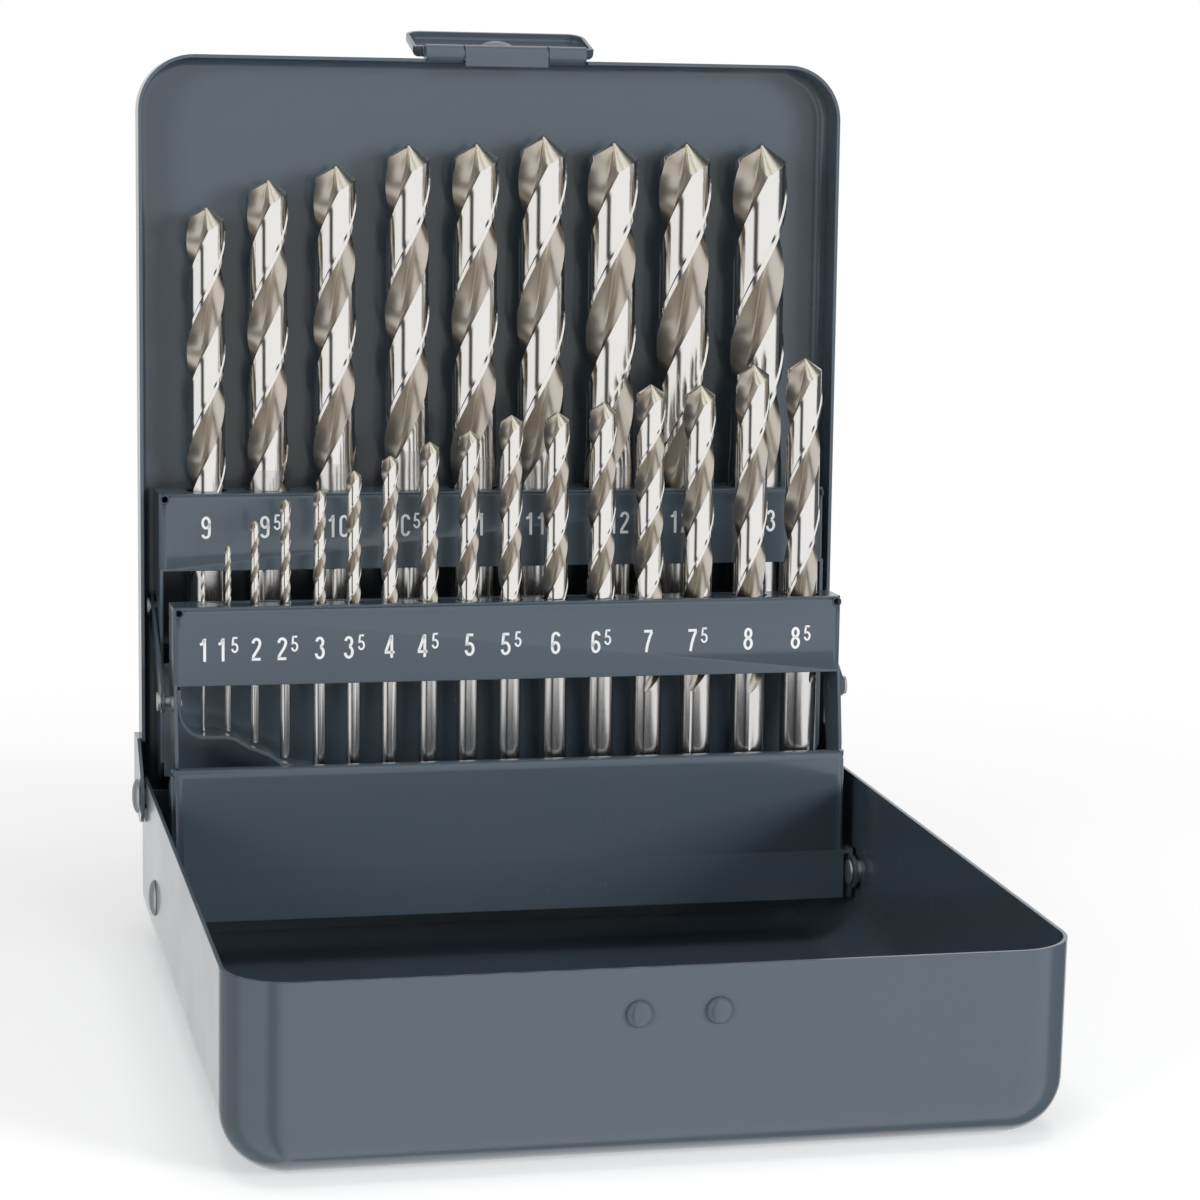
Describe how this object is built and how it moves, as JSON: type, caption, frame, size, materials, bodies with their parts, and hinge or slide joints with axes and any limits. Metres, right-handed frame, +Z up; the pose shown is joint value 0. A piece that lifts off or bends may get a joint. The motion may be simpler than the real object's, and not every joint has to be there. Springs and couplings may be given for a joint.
{
  "type": "drill bit case",
  "caption": "Hinged sheet steel case that raises two racks of twist drills, 1 to 13 mm, as its lid opens, with a snap clasp.",
  "frame": {"origin": "centre of the tray's flat underside", "axes": "+X to the right, +Y from the clasp side to the hinge side, +Z up; rest is the open case"},
  "size_m": [0.173, 0.203, 0.2135],
  "materials": {
    "enamel": "glossy slate grey stove enamel",
    "zinc_plate": "bright zinc plate",
    "high_speed_steel": "bright ground high speed steel"
  },
  "bodies": {
    "tray": {"tray": "enamel", "catch_studs": "enamel", "hinge_rivets": "zinc_plate", "pivot_rivets": "zinc_plate"},
    "lid": {"lid": "enamel", "clasp_strap": "enamel", "clasp_pin": "zinc_plate", "rear_rack": "enamel", "rear_panel": "enamel", "rear_floor": "enamel", "rear_link_pins": "zinc_plate"},
    "clasp": {"clasp": "enamel"},
    "front_stand": {"front_rack": "enamel", "front_floor": "enamel", "floor_rivet": "zinc_plate", "front_panel": "enamel", "front_link_pins": "zinc_plate"},
    "link_bar_left": {"link_bar_left": "enamel"},
    "link_bar_right": {"link_bar_right": "enamel"},
    "drill_01_0": {"drill_01_0": "high_speed_steel"},
    "drill_01_5": {"drill_01_5": "high_speed_steel"},
    "drill_02_0": {"drill_02_0": "high_speed_steel"},
    "drill_02_5": {"drill_02_5": "high_speed_steel"},
    "drill_03_0": {"drill_03_0": "high_speed_steel"},
    "drill_03_5": {"drill_03_5": "high_speed_steel"},
    "drill_04_0": {"drill_04_0": "high_speed_steel"},
    "drill_04_5": {"drill_04_5": "high_speed_steel"},
    "drill_05_0": {"drill_05_0": "high_speed_steel"},
    "drill_05_5": {"drill_05_5": "high_speed_steel"},
    "drill_06_0": {"drill_06_0": "high_speed_steel"},
    "drill_06_5": {"drill_06_5": "high_speed_steel"},
    "drill_07_0": {"drill_07_0": "high_speed_steel"},
    "drill_07_5": {"drill_07_5": "high_speed_steel"},
    "drill_08_0": {"drill_08_0": "high_speed_steel"},
    "drill_08_5": {"drill_08_5": "high_speed_steel"},
    "drill_09_0": {"drill_09_0": "high_speed_steel"},
    "drill_09_5": {"drill_09_5": "high_speed_steel"},
    "drill_10_0": {"drill_10_0": "high_speed_steel"},
    "drill_10_5": {"drill_10_5": "high_speed_steel"},
    "drill_11_0": {"drill_11_0": "high_speed_steel"},
    "drill_11_5": {"drill_11_5": "high_speed_steel"},
    "drill_12_0": {"drill_12_0": "high_speed_steel"},
    "drill_12_5": {"drill_12_5": "high_speed_steel"},
    "drill_13_0": {"drill_13_0": "high_speed_steel"}
  },
  "joints": [
    {"name": "lid_hinge", "type": "hinge", "parent": "tray", "child": "lid", "pos_m": [0, 0.084, 0.0355], "axis": [-1, 0, 0], "range_deg": [-92.05, 0]},
    {"name": "clasp_hinge", "type": "hinge", "parent": "lid", "child": "clasp", "pos_m": [0.0022, 0.09739, 0.20843], "axis": [-1, 0, 0], "range_deg": [-163.5, 0]},
    {"name": "front_stand_hinge", "type": "hinge", "parent": "tray", "child": "front_stand", "pos_m": [0, 0.057, 0.018], "axis": [-1, 0, 0], "range_deg": [-92.05, 0]},
    {"name": "link_left_pivot", "type": "hinge", "parent": "front_stand", "child": "link_bar_left", "pos_m": [-0.0809, 0.06974, 0.06087], "axis": [-1, 0, 0], "range_deg": [0, 92.05]},
    {"name": "link_right_pivot", "type": "hinge", "parent": "front_stand", "child": "link_bar_right", "pos_m": [0.0809, 0.06974, 0.06087], "axis": [-1, 0, 0], "range_deg": [0, 92.05]},
    {"name": "drill_01_0_slide", "type": "slide", "parent": "front_stand", "child": "drill_01_0", "axis": [0, 0.0358, 0.9994], "range_m": [0, 0.0313]},
    {"name": "drill_01_5_slide", "type": "slide", "parent": "front_stand", "child": "drill_01_5", "axis": [0, 0.0358, 0.9994], "range_m": [0, 0.0315]},
    {"name": "drill_02_0_slide", "type": "slide", "parent": "front_stand", "child": "drill_02_0", "axis": [0, 0.0358, 0.9994], "range_m": [0, 0.0343]},
    {"name": "drill_02_5_slide", "type": "slide", "parent": "front_stand", "child": "drill_02_5", "axis": [0, 0.0358, 0.9994], "range_m": [0, 0.038]},
    {"name": "drill_03_0_slide", "type": "slide", "parent": "front_stand", "child": "drill_03_0", "axis": [0, 0.0358, 0.9994], "range_m": [0, 0.04]},
    {"name": "drill_03_5_slide", "type": "slide", "parent": "front_stand", "child": "drill_03_5", "axis": [0, 0.0358, 0.9994], "range_m": [0, 0.042]},
    {"name": "drill_04_0_slide", "type": "slide", "parent": "front_stand", "child": "drill_04_0", "axis": [0, 0.0358, 0.9994], "range_m": [0, 0.0441]},
    {"name": "drill_04_5_slide", "type": "slide", "parent": "front_stand", "child": "drill_04_5", "axis": [0, 0.0358, 0.9994], "range_m": [0, 0.0465]},
    {"name": "drill_05_0_slide", "type": "slide", "parent": "front_stand", "child": "drill_05_0", "axis": [0, 0.0358, 0.9994], "range_m": [0, 0.0488]},
    {"name": "drill_05_5_slide", "type": "slide", "parent": "front_stand", "child": "drill_05_5", "axis": [0, 0.0358, 0.9994], "range_m": [0, 0.0514]},
    {"name": "drill_06_0_slide", "type": "slide", "parent": "front_stand", "child": "drill_06_0", "axis": [0, 0.0358, 0.9994], "range_m": [0, 0.0541]},
    {"name": "drill_06_5_slide", "type": "slide", "parent": "front_stand", "child": "drill_06_5", "axis": [0, 0.0358, 0.9994], "range_m": [0, 0.057]},
    {"name": "drill_07_0_slide", "type": "slide", "parent": "front_stand", "child": "drill_07_0", "axis": [0, 0.0358, 0.9994], "range_m": [0, 0.0599]},
    {"name": "drill_07_5_slide", "type": "slide", "parent": "front_stand", "child": "drill_07_5", "axis": [0, 0.0358, 0.9994], "range_m": [0, 0.0615]},
    {"name": "drill_08_0_slide", "type": "slide", "parent": "front_stand", "child": "drill_08_0", "axis": [0, 0.0358, 0.9994], "range_m": [0, 0.0631]},
    {"name": "drill_08_5_slide", "type": "slide", "parent": "front_stand", "child": "drill_08_5", "axis": [0, 0.0358, 0.9994], "range_m": [0, 0.0638]},
    {"name": "drill_09_0_slide", "type": "slide", "parent": "lid", "child": "drill_09_0", "axis": [0, 0.0358, 0.9994], "range_m": [0, 0.015]},
    {"name": "drill_09_5_slide", "type": "slide", "parent": "lid", "child": "drill_09_5", "axis": [0, 0.0358, 0.9994], "range_m": [0, 0.015]},
    {"name": "drill_10_0_slide", "type": "slide", "parent": "lid", "child": "drill_10_0", "axis": [0, 0.0358, 0.9994], "range_m": [0, 0.015]},
    {"name": "drill_10_5_slide", "type": "slide", "parent": "lid", "child": "drill_10_5", "axis": [0, 0.0358, 0.9994], "range_m": [0, 0.015]},
    {"name": "drill_11_0_slide", "type": "slide", "parent": "lid", "child": "drill_11_0", "axis": [0, 0.0358, 0.9994], "range_m": [0, 0.015]},
    {"name": "drill_11_5_slide", "type": "slide", "parent": "lid", "child": "drill_11_5", "axis": [0, 0.0358, 0.9994], "range_m": [0, 0.015]},
    {"name": "drill_12_0_slide", "type": "slide", "parent": "lid", "child": "drill_12_0", "axis": [0, 0.0358, 0.9994], "range_m": [0, 0.015]},
    {"name": "drill_12_5_slide", "type": "slide", "parent": "lid", "child": "drill_12_5", "axis": [0, 0.0358, 0.9994], "range_m": [0, 0.015]},
    {"name": "drill_13_0_slide", "type": "slide", "parent": "lid", "child": "drill_13_0", "axis": [0, 0.0358, 0.9994], "range_m": [0, 0.015]}
  ],
  "couplings": [
    {"joint": "front_stand_hinge", "follows": "lid_hinge", "ratio": 1},
    {"joint": "link_left_pivot", "follows": "lid_hinge", "ratio": -1},
    {"joint": "link_right_pivot", "follows": "lid_hinge", "ratio": -1}
  ]
}
